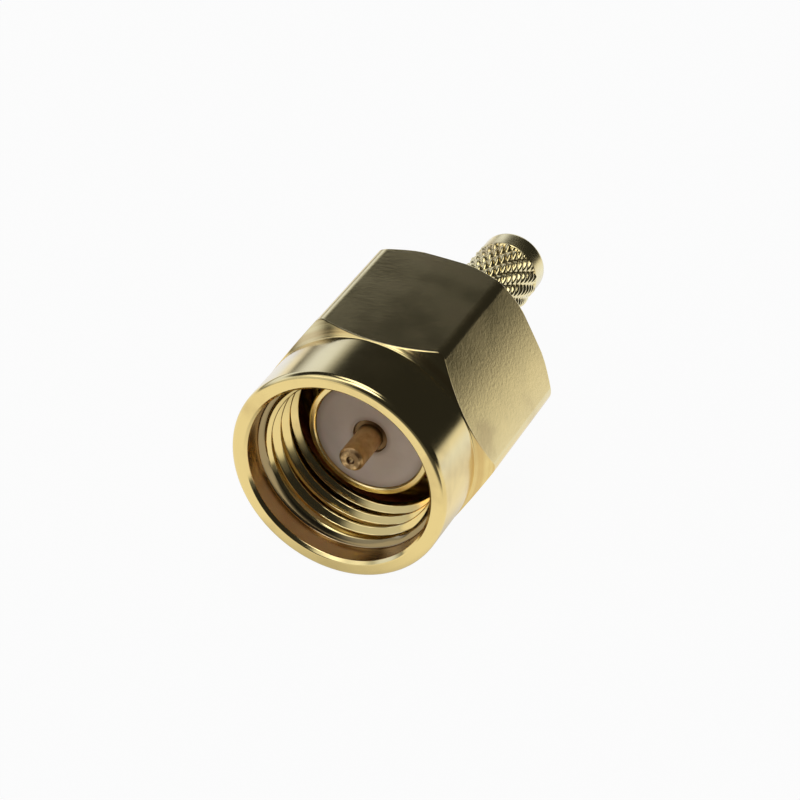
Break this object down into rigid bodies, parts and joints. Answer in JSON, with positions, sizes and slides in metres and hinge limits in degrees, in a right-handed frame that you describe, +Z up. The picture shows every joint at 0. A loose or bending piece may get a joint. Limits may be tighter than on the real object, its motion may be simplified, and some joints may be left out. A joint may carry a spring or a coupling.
{
  "type": "sma connector",
  "caption": "Gold-plated coaxial plug with a hexagonal screw coupling nut, pin contact in a plastic insulator, and a knurled crimp stem for thin cable.",
  "frame": {"origin": "on the connector's axis, in the mating reference plane, which is the front face of the outer conductor", "axes": "+Y along the axis from the mating side to the cable side, +Z up with one hexagon flat facing down, +X to the right seen from the mating side"},
  "size_m": [0.009, 0.0156, 0.008],
  "materials": {
    "nut_gold": "bright gold plate over turned and milled brass",
    "body_gold": "bright gold plate over turned and knurled brass",
    "contact_gold": "dull gold plate over turned copper alloy",
    "ring_bronze": "plain spring bronze",
    "insulator_ptfe": "waxy fluoropolymer, faced by turning",
    "gasket_silicone": "matt moulded silicone rubber"
  },
  "bodies": {
    "body": {"connector_body": "body_gold", "insulator": "insulator_ptfe", "centre_contact": "contact_gold", "sealing_gasket": "gasket_silicone"},
    "ring": {"retaining_ring": "ring_bronze"},
    "nut": {"coupling_nut": "nut_gold"}
  },
  "joints": [
    {"name": "nut_play", "type": "slide", "parent": "body", "child": "ring", "axis": [0, 1, 0], "range_m": [0, 0.0004]},
    {"name": "nut_turn", "type": "hinge", "parent": "ring", "child": "nut", "pos_m": [0, 0, 0], "axis": [0, 1, 0], "continuous": true}
  ]
}
